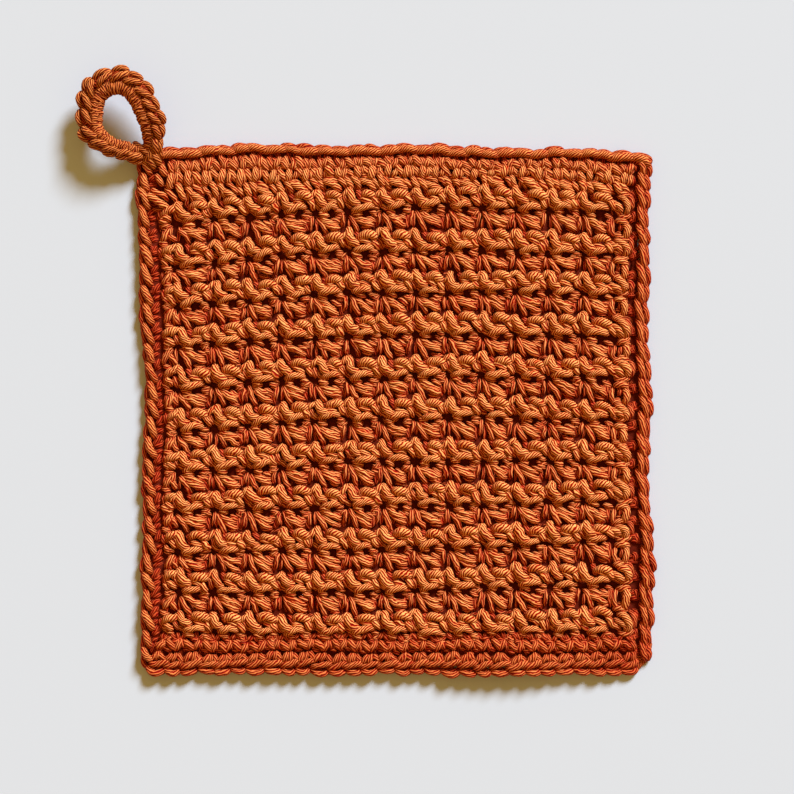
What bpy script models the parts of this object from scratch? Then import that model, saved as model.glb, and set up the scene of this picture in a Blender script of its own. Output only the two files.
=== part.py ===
"""A crocheted pot holder that lies flat: a star-stitch panel, the border of single crochet worked round it,
and the hanging loop at its top left corner, which stands up a little. Metres, +Z up, +Y towards the loop's edge.
The origin is on the resting face, at the middle of the outer rectangle."""

import math

import bmesh
import bpy
import numpy as np

MM = 0.001
GAP = 0.3 * MM

# The outer edge is a rectangle with rounded corners, pushed in and out by the waves below.
HALF_WIDTH = 99.0 * MM
HALF_LENGTH = 103.0 * MM
CORNER_RADIUS = {"bottom_right": 8.0 * MM, "top_right": 4.5 * MM, "top_left": 5.0 * MM, "bottom_left": 5.0 * MM}

# How far each side stands outside the rectangle, in mm, at seven even places from its start to its end.
EDGE_WAVES = {
    "right": (-0.3, 1.6, -0.3, 0.1, -1.1, -0.9, -1.2),  # from the bottom up
    "left": (0.5, -0.3, -1.1, -0.9, -0.3, 1.2, 1.6),  # from the bottom up
    "top": (-0.8, 0.5, 0.4, 0.9, -0.2, -0.2, -2.4),  # from left to right
    "bottom": (-0.8, -0.5, -0.4, -0.2, 0.0, 0.0, -0.8),  # from left to right
}
WAVE_REACH = 0.85  # the waves fade out inside this share of the half width and half length

# The panel fills the border's inner rectangle.
PANEL_LEFT = -92.4 * MM
PANEL_RIGHT = 91.6 * MM
PANEL_BOTTOM = -94.4 * MM
PANEL_TOP = 98.7 * MM
PANEL_EDGE_HEIGHT = 2.7 * MM

# The star stitches stand in columns. A column's line runs through the eyes of its stars.
FIRST_COLUMN = -84.2 * MM
COLUMN_PITCH = 13.07 * MM
COLUMN_START = -0.5
COLUMN_END = 13.25
COLUMN_STEPS = 4

# The lines through the eyes of each row of stars, from the top row down, in mm. They bow and lean a little.
ROW_GUIDES = ("left", "middle", "right")
ROW_GUIDE_PLACES = (-84.2 * MM, -5.5 * MM, 72.5 * MM)
STAR_ROWS = (
    # left, middle, right
    (73.7, 79.6, 78.4),
    (57.7, 63.2, 61.6),
    (41.7, 46.8, 46.8),
    (25.7, 30.4, 29.6),
    (9.4, 14.0, 13.7),
    (-7.0, -2.3, -2.7),
    (-23.0, -19.1, -18.7),
    (-38.2, -36.3, -34.7),
    (-54.2, -53.0, -50.3),
    (-69.8, -69.4, -66.7),
    (-86.0, -86.4, -85.6),
)
ROW_PITCH = 16.5 * MM

# The relief of one star stitch and the cap above it, in mm above the resting face.
STAR_RELIEF = (
    # share of the way up to the next eye line, then the height at the eye, a quarter, half and three quarters across
    (0.00, 1.9, 3.6, 2.6, 3.6),
    (0.15, 3.7, 5.0, 4.1, 4.9),
    (0.32, 5.2, 4.6, 5.0, 5.4),
    (0.48, 5.7, 5.1, 5.5, 5.6),
    (0.60, 4.0, 3.7, 3.3, 3.9),
    (0.80, 4.5, 5.1, 3.8, 4.3),
)
CAP_LINES = 4  # the relief lines that also lie above the top row of stars

# Plain crochet rows above and below the stars.
PLAIN_ROWS_ABOVE = 3
PLAIN_ROWS_BELOW = 1
PLAIN_RIDGE_HEIGHT = 4.7 * MM
PLAIN_GROOVE_HEIGHT = 3.5 * MM
PLAIN_KNOT_RISE = 0.5 * MM

# The border: stitches along each side, and its section from the outer edge inwards.
STITCHES_ACROSS = 29
STITCHES_UP = 30
STEPS_PER_STITCH = 2
CORNER_STEPS = 3
INNER_CORNER_RADIUS = 0.4 * MM
BORDER_SECTION = (
    # share of the way in, height in mm, share of the stitch's rise
    (0.10, 0.0, 0.0),
    (0.00, 1.5, 0.6),
    (0.08, 3.3, 0.8),
    (0.38, 4.9, 1.0),
    (0.74, 4.3, 0.7),
    (1.00, 2.6, 0.0),
    (1.00, 0.0, 0.0),
)
STITCH_RISE = 0.9 * MM
STITCH_SWELL = 0.5 * MM  # how far a stitch stands out of the edge

# The bottom edge lifts off the surface a little, right of its middle.
LIFT_PLACE = 64.0 * MM
LIFT_HALF_LENGTH = 42.0 * MM
LIFT_REACH = 28.0 * MM  # how far up the cloth it fades out
LIFT_HEIGHT = 3.0 * MM
LIFTED_LINES = 9  # the panel's grid lines from the bottom edge up that the lift may reach

# The hanging loop, a ring whose root lies on the border's corner and which stands up from there.
LOOP_SECTIONS = (
    # x, y, width of the band, height of its middle, in mm
    (-98.4, 99.4, 5.6, 4.7),
    (-105.5, 101.0, 6.6, 9.6),
    (-113.0, 102.9, 8.2, 12.2),
    (-118.2, 107.4, 9.8, 12.3),
    (-120.0, 115.0, 10.6, 11.6),
    (-118.6, 122.6, 10.9, 12.2),
    (-113.4, 128.2, 10.9, 13.6),
    (-106.2, 128.4, 10.9, 14.8),
    (-100.2, 124.4, 10.6, 14.8),
    (-96.6, 117.9, 10.3, 13.6),
    (-95.2, 110.6, 9.4, 11.0),
    (-95.2, 104.0, 6.8, 7.4),
)
LOOP_STITCHES = 16
LOOP_STEPS_PER_STITCH = 3
LOOP_THICKNESS = 4.6 * MM
LOOP_GROWTH = 0.045  # how much thicker the ring gets with the distance from its root
LOOP_STITCH_RISE = 0.7 * MM
LOOP_PROFILE = (
    # share of the width outwards, share of the thickness upwards, share of the stitch's rise
    (0.50, 0.02, 1.0),
    (0.40, 0.40, 1.0),
    (0.14, 0.44, 0.3),
    (-0.24, 0.46, 0.0),
    (-0.46, 0.12, 0.0),
    (-0.42, -0.30, 0.0),
    (0.00, -0.48, 0.0),
    (0.40, -0.34, 0.4),
)

# The border lies thin under the loop's root.
LOOP_SEAT_RADIUS = 6.5 * MM
LOOP_SEAT_FADE = 5.0 * MM
LOOP_SEAT_HEIGHT = 2.0 * MM

YARN_COLOUR = (0.60, 0.17, 0.035, 1.0)
YARN_ROUGHNESS = 0.7
SHARP_ANGLE = math.radians(75)


def smooth_line(values, places):
    """The height at each place, from 0 to 1, of a smooth line through evenly spaced values."""
    values = np.asarray(values, float)
    slopes = np.gradient(values)
    steps = np.clip(places, 0.0, 1.0) * (len(values) - 1)
    first = np.minimum(steps.astype(int), len(values) - 2)
    t = steps - first
    start, end = values[first], values[first + 1]
    leave, arrive = slopes[first], slopes[first + 1]
    return (
        (2 * t**3 - 3 * t**2 + 1) * start
        + (t**3 - 2 * t**2 + t) * leave
        + (3 * t**2 - 2 * t**3) * end
        + (t**3 - t**2) * arrive
    )


def smooth_ring(values, places):
    """The value at each place, from 0 to 1 round a ring, of a smooth closed line through evenly spaced values."""
    values = np.asarray(values, float)
    count = len(values)
    steps = np.mod(places, 1.0) * count
    first = steps.astype(int) % count
    t = steps - np.floor(steps)
    before, start, end, after = (values[(first + k) % count] for k in (-1, 0, 1, 2))
    return 0.5 * (
        2 * start
        + (end - before) * t
        + (2 * before - 5 * start + 4 * end - after) * t**2
        + (3 * start - before - 3 * end + after) * t**3
    )


def ease(share):
    """0 to 1, with a level start and end."""
    share = np.clip(share, 0.0, 1.0)
    return share * share * (3 - 2 * share)


def uneven(x, y):
    """Moves points of the plain rectangle to where the uneven cloth has them."""
    up = (y / HALF_LENGTH + 1) / 2
    across = (x / HALF_WIDTH + 1) / 2
    side_reach = ease((np.abs(x) / HALF_WIDTH - WAVE_REACH) / (1 - WAVE_REACH))
    end_reach = ease((np.abs(y) / HALF_LENGTH - WAVE_REACH) / (1 - WAVE_REACH))
    right, left, top, bottom = (
        smooth_line(EDGE_WAVES[side], place) * MM
        for side, place in (("right", up), ("left", up), ("top", across), ("bottom", across))
    )
    moved_x = x + side_reach * np.where(x > 0, right, -left)
    moved_y = y + end_reach * np.where(y > 0, top, -bottom)
    return moved_x, moved_y


def lift(x, y):
    """How far the cloth lies off the surface at a place."""
    along = ease(1 - np.abs(x - LIFT_PLACE) / LIFT_HALF_LENGTH)
    inward = ease(1 - (y + HALF_LENGTH) / LIFT_REACH)
    return LIFT_HEIGHT * along * inward


def row_line(row, x):
    """The height up the cloth of a row's eye line at x: a parabola through its three guides."""
    guides = np.array(STAR_ROWS[row]) * MM
    bend = np.polyfit(ROW_GUIDE_PLACES, guides, len(ROW_GUIDES) - 1)
    return np.polyval(bend, x)


def panel_columns():
    """Each grid line's x, and its place within a star's width in steps."""
    steps = np.arange(round(COLUMN_START * COLUMN_STEPS), round(COLUMN_END * COLUMN_STEPS) + 1)
    x = FIRST_COLUMN + steps * COLUMN_PITCH / COLUMN_STEPS
    x = np.concatenate([[PANEL_LEFT + GAP], x, [PANEL_RIGHT - GAP]])
    return x, np.concatenate([steps[:1], steps, steps[-1:]]) % COLUMN_STEPS


def plain_rows(start, end, count, place):
    """Grid lines of plain rows between two lines: the groove and the ridge of each row."""
    lines = []
    knots = np.where(place % 2 == 0, PLAIN_KNOT_RISE, 0.0)
    for half in range(1, 2 * count):
        share = half / (2 * count)
        ridge = half % 2 == 1
        height = PLAIN_RIDGE_HEIGHT + knots if ridge else np.full(len(place), PLAIN_GROOVE_HEIGHT)
        lines.append((start + (end - start) * share, height))
    return lines


def panel_lines(x, place):
    """The panel's grid lines from the bottom up: where each runs, and its heights."""
    bottom = np.full(len(x), PANEL_BOTTOM + GAP)
    top = np.full(len(x), PANEL_TOP - GAP)
    edge = np.full(len(x), PANEL_EDGE_HEIGHT)
    rows = len(STAR_ROWS)
    lines = [(bottom, edge)]
    lines += plain_rows(bottom, row_line(rows - 1, x), PLAIN_ROWS_BELOW, place)
    for row in range(rows - 1, 0, -1):
        low = row_line(row, x)
        high = row_line(row - 1, x)
        for share, *heights in STAR_RELIEF:
            lines.append((low + (high - low) * share, np.array(heights)[place] * MM))
    first = row_line(0, x)
    for share, *heights in STAR_RELIEF[:CAP_LINES]:
        lines.append((first + ROW_PITCH * share, np.array(heights)[place] * MM))
    last_cap = first + ROW_PITCH * STAR_RELIEF[CAP_LINES][0]
    lines.append((last_cap, np.full(len(x), PLAIN_GROOVE_HEIGHT)))
    lines += plain_rows(last_cap, top, PLAIN_ROWS_ABOVE, place)
    lines.append((top, edge))
    return lines


def add_piece(name, fill):
    """Adds a named object with its own yarn material, from a function that fills a bmesh."""
    mesh = bpy.data.meshes.new(name)
    bm = bmesh.new()
    fill(bm)
    bmesh.ops.recalc_face_normals(bm, faces=bm.faces)
    bm.to_mesh(mesh)
    bm.free()
    mesh.shade_smooth()
    mesh.set_sharp_from_angle(angle=SHARP_ANGLE)
    mesh.materials.append(yarn_material(name))
    bpy.context.scene.collection.objects.link(bpy.data.objects.new(name, mesh))


def yarn_material(name):
    """The rust-orange cotton of one piece."""
    material = bpy.data.materials.new(name + "_yarn")
    material.use_nodes = True
    shader = material.node_tree.nodes["Principled BSDF"]
    shader.inputs["Base Color"].default_value = YARN_COLOUR
    shader.inputs["Roughness"].default_value = YARN_ROUGHNESS
    shader.inputs["Metallic"].default_value = 0.0
    material.diffuse_color = YARN_COLOUR
    return material


def add_strip(bm, first, second):
    """Joins two lines of points with a strip of faces."""
    for k in range(len(first) - 1):
        bm.faces.new((first[k], first[k + 1], second[k + 1], second[k]))


def fill_panel(bm):
    """The panel: a grid raised into stars, with walls down to the resting face, which is flat but for the lift."""
    x, place = panel_columns()
    lines = panel_lines(x, place)
    y = np.array([line[0] for line in lines])
    z = np.array([line[1] for line in lines])
    z[:, [0, -1]] = PANEL_EDGE_HEIGHT
    x, y = uneven(np.broadcast_to(x, y.shape), y)
    foot_z = lift(x, y)
    face = [[bm.verts.new(point) for point in zip(*line)] for line in zip(x, y, z + foot_z)]
    foot = [[bm.verts.new(point) for point in zip(*line)] for line in zip(x, y, foot_z)]
    for low, high in zip(face, face[1:]):
        add_strip(bm, low, high)
    for low, high in zip(foot[:LIFTED_LINES], foot[1:LIFTED_LINES]):
        add_strip(bm, low, high)
    for end in (0, -1):
        add_strip(bm, face[end], foot[end])
        add_strip(bm, [line[end] for line in face], [line[end] for line in foot])
    level = foot[LIFTED_LINES - 1 :]
    sides = ([line[-1] for line in level[1:-1]], [line[0] for line in level[-2:0:-1]])
    bm.faces.new(level[0] + sides[0] + level[-1][::-1] + sides[1])
    bmesh.ops.delete(bm, geom=[point for point in bm.verts if not point.link_faces], context="VERTS")


def rounded_rectangle(left, right, bottom, top, radii):
    """Stations round a rounded rectangle, anticlockwise from the foot of its right side, and how far each stands
    for a stitch's middle (1) or the dip between two stitches (0)."""
    corners = (
        ("bottom_right", right, bottom, -90, STITCHES_UP),
        ("top_right", right, top, 0, STITCHES_ACROSS),
        ("top_left", left, top, 90, STITCHES_UP),
        ("bottom_left", left, bottom, 180, STITCHES_ACROSS),
    )
    centres = []
    for name, x, y, turn, stitches in corners:
        radius = radii[name]
        centre = (x - math.copysign(radius, x), y - math.copysign(radius, y))
        centres.append((centre, radius, math.radians(turn), stitches))
    points, swells = [], []
    for k, (centre, radius, turn, stitches) in enumerate(centres):
        angles = turn + np.linspace(0, math.pi / 2, CORNER_STEPS)
        arc = np.stack([centre[0] + radius * np.cos(angles), centre[1] + radius * np.sin(angles)], axis=1)
        next_centre, next_radius, next_turn, _ = centres[(k + 1) % len(centres)]
        landing = np.array(next_centre) + next_radius * np.array([math.cos(next_turn), math.sin(next_turn)])
        steps = stitches * STEPS_PER_STITCH
        share = (np.arange(1, steps) / steps)[:, None]
        side = arc[-1] * (1 - share) + landing * share
        points += [arc, side]
        swells += [np.arange(CORNER_STEPS) % 2, np.arange(1, steps) % STEPS_PER_STITCH]
    return np.concatenate(points), np.concatenate(swells).astype(float)


def add_ring(bm, sections):
    """Joins closed sections, in order round a ring, into one closed body."""
    rings = [[bm.verts.new(point) for point in section] for section in sections]
    for k, ring in enumerate(rings):
        following = rings[(k + 1) % len(rings)]
        for n in range(len(ring)):
            after = (n + 1) % len(ring)
            bm.faces.new((ring[n], ring[after], following[after], following[n]))


def fill_border(bm):
    """The border: a ring of stitches round the panel, level underneath, thin where the loop lies on it."""
    outer, swell = rounded_rectangle(-HALF_WIDTH, HALF_WIDTH, -HALF_LENGTH, HALF_LENGTH, CORNER_RADIUS)
    inner_radii = dict.fromkeys(CORNER_RADIUS, INNER_CORNER_RADIUS)
    inner, _ = rounded_rectangle(PANEL_LEFT, PANEL_RIGHT, PANEL_BOTTOM, PANEL_TOP, inner_radii)
    outer = np.stack(uneven(*outer.T), axis=1)
    inner = np.stack(uneven(*inner.T), axis=1)
    outward = outer - inner
    outward /= np.linalg.norm(outward, axis=1)[:, None]
    outer += outward * (swell * STITCH_SWELL)[:, None]
    root = np.array(LOOP_SECTIONS[0][:2]) * MM
    sections = []
    for share, height, rise in BORDER_SECTION:
        plan = outer + (inner - outer) * share
        z = height * MM + swell * rise * STITCH_RISE
        distance = np.linalg.norm(plan - root, axis=1)
        free = ease((distance - LOOP_SEAT_RADIUS) / LOOP_SEAT_FADE)
        z = np.where(z > LOOP_SEAT_HEIGHT, LOOP_SEAT_HEIGHT + (z - LOOP_SEAT_HEIGHT) * free, z)
        sections.append(np.column_stack([plan, z + lift(*plan.T)]))
    add_ring(bm, np.stack(sections, axis=1))


def fill_loop(bm):
    """The hanging loop: a ring of varying width, which stands up from its root."""
    steps = LOOP_STITCHES * LOOP_STEPS_PER_STITCH
    places = np.arange(steps) / steps
    x, y, width, height = (smooth_ring(column, places) * MM for column in zip(*LOOP_SECTIONS))
    tangent = np.stack([np.roll(x, -1) - np.roll(x, 1), np.roll(y, -1) - np.roll(y, 1)], axis=1)
    tangent /= np.linalg.norm(tangent, axis=1)[:, None]
    outward = np.stack([-tangent[:, 1], tangent[:, 0]], axis=1)
    distance = np.hypot(x - x[0], y - y[0])
    thickness = LOOP_THICKNESS + LOOP_GROWTH * distance
    swell = np.where(np.arange(steps) % LOOP_STEPS_PER_STITCH == 0, 0.0, LOOP_STITCH_RISE)
    swell[distance < LOOP_SEAT_RADIUS] = 0.0
    sections = []
    for out, up, rise in LOOP_PROFILE:
        reach = width * out + swell * rise * math.copysign(1.0, out)
        plan = np.stack([x, y], axis=1) + outward * reach[:, None]
        sections.append(np.column_stack([plan, height + thickness * up]))
    add_ring(bm, np.stack(sections, axis=1))


def build():
    """Clears the scene and makes the three pieces."""
    for leftover in list(bpy.data.objects):
        bpy.data.objects.remove(leftover)
    add_piece("panel", fill_panel)
    add_piece("border", fill_border)
    add_piece("hanging_loop", fill_loop)


build()
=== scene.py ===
"""A crocheted pot holder of rust-orange cotton that lies flat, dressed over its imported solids.

Every stitch that shows is a length of plied yarn: a tube swept along a charted line. The charts give the
lines of one stitch in mm, the lattice of the cloth repeats them, and the cloth's uneven outline carries them
to their places.
"""

import logging
import math
from collections import defaultdict
from collections.abc import Callable, Sequence
from dataclasses import dataclass, field
from enum import Enum

import bpy
import numpy as np
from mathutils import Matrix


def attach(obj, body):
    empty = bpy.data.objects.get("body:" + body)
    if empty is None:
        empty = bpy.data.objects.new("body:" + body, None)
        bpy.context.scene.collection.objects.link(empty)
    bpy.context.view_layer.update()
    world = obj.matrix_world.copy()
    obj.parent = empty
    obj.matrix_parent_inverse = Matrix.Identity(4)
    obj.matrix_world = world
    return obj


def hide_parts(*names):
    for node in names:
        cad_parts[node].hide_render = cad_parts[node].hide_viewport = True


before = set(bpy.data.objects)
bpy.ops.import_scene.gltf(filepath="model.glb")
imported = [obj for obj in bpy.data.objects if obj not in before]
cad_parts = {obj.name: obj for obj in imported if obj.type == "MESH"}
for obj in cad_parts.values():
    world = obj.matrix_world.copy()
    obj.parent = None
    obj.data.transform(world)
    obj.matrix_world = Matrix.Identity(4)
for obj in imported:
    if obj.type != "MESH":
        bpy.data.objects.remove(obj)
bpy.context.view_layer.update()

MM = 0.001
SEED = 20
UV_NAME = "yarn"
# The point attribute that carries each strand's share of the lit colours, its painted shade.
PAINTED_SHADE_ATTRIBUTE = "depth"
QUAD_CORNERS = ((0, 0), (1, 0), (1, 1), (0, 1))
Array = np.ndarray
Point = tuple[float, float, float]
Colour = tuple[float, float, float, float]
Inputs = dict[str | int, object]
Material = bpy.types.Material
Object = bpy.types.Object
Socket = bpy.types.NodeSocket
Sockets = bpy.types.bpy_prop_collection

log = logging.getLogger("pot_holder")


class Slot(Enum):
    """The record's material slots."""

    PANEL = "panel_yarn"
    BORDER = "border_yarn"
    LOOP = "loop_yarn"


class Side(Enum):
    """The sides of the border in the order of its stitches, anticlockwise from the foot of the right
    side."""

    RIGHT = 0
    TOP = 1
    LEFT = 2
    BOTTOM = 3


@dataclass(frozen=True)
class Strand:
    """One length of yarn that shows in a stitch.

    Args:
        name: What the strand is in the stitch.
        radius: Its radius in mm.
        twist: How much tighter than usual its plies turn.
        share: Its own share of the lit colours; below 1 it gets painted shade, as if sunk among other
            strands.
        points: The places it runs through, as the chart's own x, y and height.
    """

    name: str
    radius: float
    twist: float
    share: float
    points: tuple[Point, ...]

    @property
    def line(self) -> Array:
        """The points as an array of one row each."""
        return np.array(self.points, float)


Chart = tuple[Strand, ...]


def charted(*rows: tuple) -> Chart:
    """The strands of a stitch, from rows of name, radius, twist, share and then the points."""
    return tuple(Strand(*row[:4], row[4:]) for row in rows)

# One star, in mm from its eye: across, up the cloth, height above the resting face.
STAR_SPOKES = charted(
    ("straight spoke", 0.8, 0.3, 0.75, (-1.1, -1.4, 2.8), (-1.4, -3.0, 4.3), (-1.7, -4.8, 4.2),
     (-2.0, -6.9, 2.8)),
    ("sunk spoke", 0.75, 0.3, 0.6, (0.0, -2.2, 2.8), (-0.1, -4.4, 3.5), (-0.2, -7.4, 2.6)),
    ("slant spoke", 1.1, 0.3, 0.85, (0.5, -1.4, 2.4), (1.3, -3.2, 4.0), (2.4, -5.5, 4.3), (3.3, -7.6, 3.8),
     (3.8, -8.9, 2.2)),
    ("upper ray", 1.05, 0.3, 1.0, (1.7, -1.5, 2.4), (3.3, -2.5, 4.2), (5.5, -3.7, 4.9), (7.6, -4.8, 4.6),
     (9.3, -5.4, 2.6)),
    ("lower ray", 1.2, 0.3, 1.0, (1.9, -2.6, 2.4), (3.5, -3.8, 4.2), (5.7, -5.3, 4.9), (7.7, -6.5, 4.5),
     (9.2, -7.1, 2.4)),
    ("ray bed", 1.05, 0.4, 1.0, (5.2, -6.6, 2.2), (7.2, -7.8, 3.4), (9.2, -8.1, 2.2)),
    ("short ray", 0.85, 0.4, 1.0, (6.2, -2.6, 2.7), (7.5, -3.2, 4.1), (8.8, -3.9, 3.9), (9.7, -4.5, 2.4)),
    ("sunk column", 1.1, 0.5, 0.35, (-3.1, -2.2, 2.0), (-3.2, -4.7, 2.7), (-3.0, -7.8, 2.2)),
)
STAR_CAP = charted(
    ("cap tip", 1.05, 1.0, 1.0, (-2.6, 4.9, 4.4), (-1.6, 6.4, 5.4), (-0.5, 7.6, 5.1), (0.3, 7.9, 3.4)),
    ("cap bend", 1.65, 0.6, 1.0, (0.1, 8.3, 3.4), (0.5, 7.0, 5.2), (1.0, 5.3, 5.9), (1.7, 3.9, 5.8),
     (3.1, 2.9, 5.0), (4.6, 2.4, 3.4)),
    ("cap bar", 1.35, 1.0, 1.0, (1.7, 0.3, 3.2), (3.1, 1.0, 5.0), (4.8, 1.4, 5.6), (6.6, 1.8, 5.6),
     (8.2, 1.8, 4.9), (9.7, 1.4, 3.2)),
    ("cap return", 1.2, 0.5, 1.0, (4.7, 4.6, 3.4), (6.0, 4.2, 5.0), (7.6, 3.4, 5.1), (9.2, 2.2, 3.6)),
    ("sunk loop", 1.3, 0.8, 0.2, (2.8, 7.8, 2.2), (3.8, 5.8, 3.1), (5.0, 3.6, 2.6)),
    ("inner fill", 1.2, 0.6, 0.5, (-1.6, 5.6, 3.2), (-0.8, 4.0, 4.8), (-0.3, 1.5, 3.4)),
    ("cap seat", 1.1, 0.6, 1.0, (-0.9, 3.7, 2.8), (0.6, 2.4, 4.3), (2.0, 0.9, 3.2)),
    ("eye brow", 0.95, 0.8, 1.0, (-4.6, 0.6, 2.8), (-3.2, 0.3, 4.3), (-1.6, -0.2, 3.0)),
    ("eye cheek", 0.85, 0.8, 1.0, (-4.2, -2.4, 2.6), (-2.9, -1.6, 3.8), (-1.4, -1.0, 2.8)),
    ("under strand", 1.2, 0.6, 1.0, (1.9, 0.0, 2.8), (3.4, -0.6, 4.6), (5.1, -1.5, 3.2)),
    ("under bow", 0.9, 0.8, 1.0, (2.2, -1.1, 2.6), (3.6, -0.6, 3.7), (5.2, 0.4, 3.2)),
    ("hole rim", 0.95, 0.6, 1.0, (8.0, -0.7, 2.8), (9.5, -1.2, 4.0), (11.2, -2.2, 2.8)),
    ("hole lip", 0.85, 0.6, 1.0, (8.3, -2.0, 2.6), (9.6, -2.6, 3.6), (10.9, -3.4, 2.6)),
)
# The cap's strands left of the eye, which are worked from the second column to one past the last.
STAR_CAP_JOINS = charted(
    ("cap arch", 1.7, 2.5, 1.0, (-8.0, 3.8, 2.2), (-8.2, 5.2, 3.0), (-7.4, 6.3, 4.5), (-5.7, 6.5, 5.6),
     (-3.9, 5.9, 5.6), (-2.2, 5.0, 4.3)),
    ("cap tail", 1.15, 0.4, 1.0, (-4.1, 5.0, 4.0), (-3.3, 4.1, 5.3), (-2.5, 2.9, 5.3), (-1.5, 1.3, 3.6)),
)

# The ends of the star rows, in mm from the first column's eye on the left, and from one column past the last.
LEFT_EDGE = charted(
    ("edge coil", 1.45, 1.7, 1.0, (-4.2, 4.0, 2.8), (-4.4, 5.8, 4.2), (-2.9, 6.9, 5.2), (-1.2, 6.9, 4.8),
     (0.0, 6.3, 3.2)),
    ("edge fold", 1.25, 0.6, 1.0, (-4.4, 4.4, 3.2), (-3.4, 3.6, 4.9), (-2.3, 2.5, 4.9), (-1.5, 1.2, 3.2)),
    ("edge foot", 1.2, 0.6, 1.0, (-5.2, 2.8, 2.6), (-4.3, 1.8, 4.3), (-3.0, 0.5, 3.0)),
    ("edge side", 1.1, 0.8, 0.4, (-5.2, 7.2, 2.4), (-5.4, 5.0, 3.7), (-5.2, 2.8, 2.4)),
    ("edge slant", 1.2, 0.5, 1.0, (-1.6, -1.4, 2.8), (-2.5, -2.6, 4.2), (-3.9, -4.6, 4.2),
     (-4.8, -6.4, 2.8)),
    ("edge slash", 1.1, 0.5, 1.0, (-1.9, -2.4, 2.6), (-1.7, -3.9, 4.0), (-1.0, -5.6, 4.0),
     (-0.5, -7.2, 2.6)),
    ("edge cheek", 1.0, 0.8, 1.0, (-5.0, 0.4, 2.6), (-3.8, -0.5, 3.9), (-2.4, -1.1, 2.6)),
    ("edge core", 1.0, 0.5, 0.4, (-3.8, -1.8, 2.2), (-4.6, -3.8, 3.2), (-5.0, -5.6, 2.2)),
    ("edge knot", 1.2, 1.0, 1.0, (-5.3, -6.8, 2.6), (-4.2, -7.9, 4.0), (-2.8, -8.2, 2.8)),
    ("edge bed", 1.1, 1.0, 0.4, (-5.0, -9.0, 2.4), (-3.4, -9.2, 3.7), (-1.6, -9.0, 2.4)),
)
RIGHT_EDGE = charted(
    ("edge cap", 1.45, 1.0, 1.0, (-0.2, 6.7, 3.0), (1.7, 6.2, 5.0), (3.3, 4.5, 5.5), (3.5, 2.4, 4.8),
     (2.2, 0.6, 3.0)),
    ("edge fold", 1.35, 0.6, 1.0, (-2.4, 4.9, 3.0), (-0.8, 4.1, 4.8), (0.9, 2.9, 5.2), (2.0, 1.0, 3.4)),
    ("edge seat", 1.15, 0.6, 1.0, (-1.9, 2.9, 2.8), (-0.6, 1.8, 4.2), (0.9, 0.4, 2.8)),
    ("edge top", 1.15, 0.8, 1.0, (0.0, 8.2, 2.8), (1.6, 7.9, 4.2), (3.6, 6.9, 2.8)),
    ("edge outer", 1.1, 0.8, 0.4, (4.0, 7.4, 2.6), (4.9, 5.6, 4.0), (5.0, 3.2, 3.8), (4.3, 1.2, 2.6)),
    ("edge low", 1.1, 0.8, 1.0, (-0.4, 0.4, 2.6), (1.2, -0.2, 4.0), (3.3, 0.2, 4.0), (4.4, 0.6, 2.6)),
    ("edge bar", 1.25, 0.8, 1.0, (-0.9, -2.2, 2.8), (0.9, -1.7, 4.5), (2.7, -2.0, 4.6), (4.0, -3.2, 3.0)),
    ("edge right post", 1.5, 1.0, 1.0, (2.5, -2.4, 2.8), (3.3, -4.2, 4.9), (3.3, -6.6, 4.9),
     (2.4, -9.0, 3.0)),
    ("edge left post", 1.1, 0.6, 1.0, (-0.9, -2.6, 2.8), (-1.6, -4.6, 4.2), (-1.5, -6.9, 4.1),
     (-0.4, -9.0, 2.8)),
    ("edge core", 1.05, 0.8, 0.4, (1.3, -2.6, 2.6), (1.4, -4.2, 3.8), (0.8, -6.2, 2.6)),
    ("edge core foot", 1.0, 0.8, 1.0, (0.0, -7.0, 2.2), (0.8, -6.8, 3.2), (1.6, -8.0, 2.4)),
    ("edge side", 1.1, 0.4, 0.4, (-3.0, -1.0, 2.4), (-3.2, -4.4, 3.4), (-2.7, -8.2, 2.4)),
    ("edge knot", 1.2, 1.0, 1.0, (-1.7, -9.2, 2.8), (0.2, -8.6, 4.3), (2.0, -9.2, 3.0)),
)

# Plain crochet above the stars. Across in mm; up as the share of the way from the caps to the border.
PLAIN_FIRST_ROW = charted(
    ("long slant", 1.35, 0.6, 1.0, (-9.8, 0.2, 3.0), (-8.5, 0.16, 4.8), (-6.2, 0.05, 5.2),
     (-4.2, -0.06, 4.6), (-3.2, -0.14, 2.8)),
    ("upper slant", 1.1, 0.5, 1.0, (-9.4, 0.36, 2.8), (-7.8, 0.3, 4.3), (-5.6, 0.2, 4.4), (-4.0, 0.08, 2.8)),
    ("thin slant", 1.1, 0.4, 1.0, (-4.4, 0.3, 3.0), (-3.4, 0.2, 4.5), (-2.0, 0.06, 4.3), (-1.2, -0.08, 2.6)),
    ("upright", 1.3, 0.8, 1.0, (-1.5, 0.4, 3.0), (-0.8, 0.26, 4.8), (0.1, 0.1, 4.8), (0.6, -0.02, 3.2)),
    ("short slant", 1.2, 0.6, 1.0, (0.9, 0.34, 3.0), (2.2, 0.24, 4.6), (3.5, 0.06, 4.2), (4.2, -0.1, 2.8)),
    ("row seat", 1.0, 0.6, 1.0, (3.2, 0.3, 2.6), (2.6, 0.08, 3.6), (1.9, -0.12, 2.6)),
    ("row bed", 1.1, 0.6, 1.0, (-9.8, -0.1, 2.4), (-6.8, -0.12, 3.2), (-3.6, -0.22, 2.4)),
)
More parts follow.
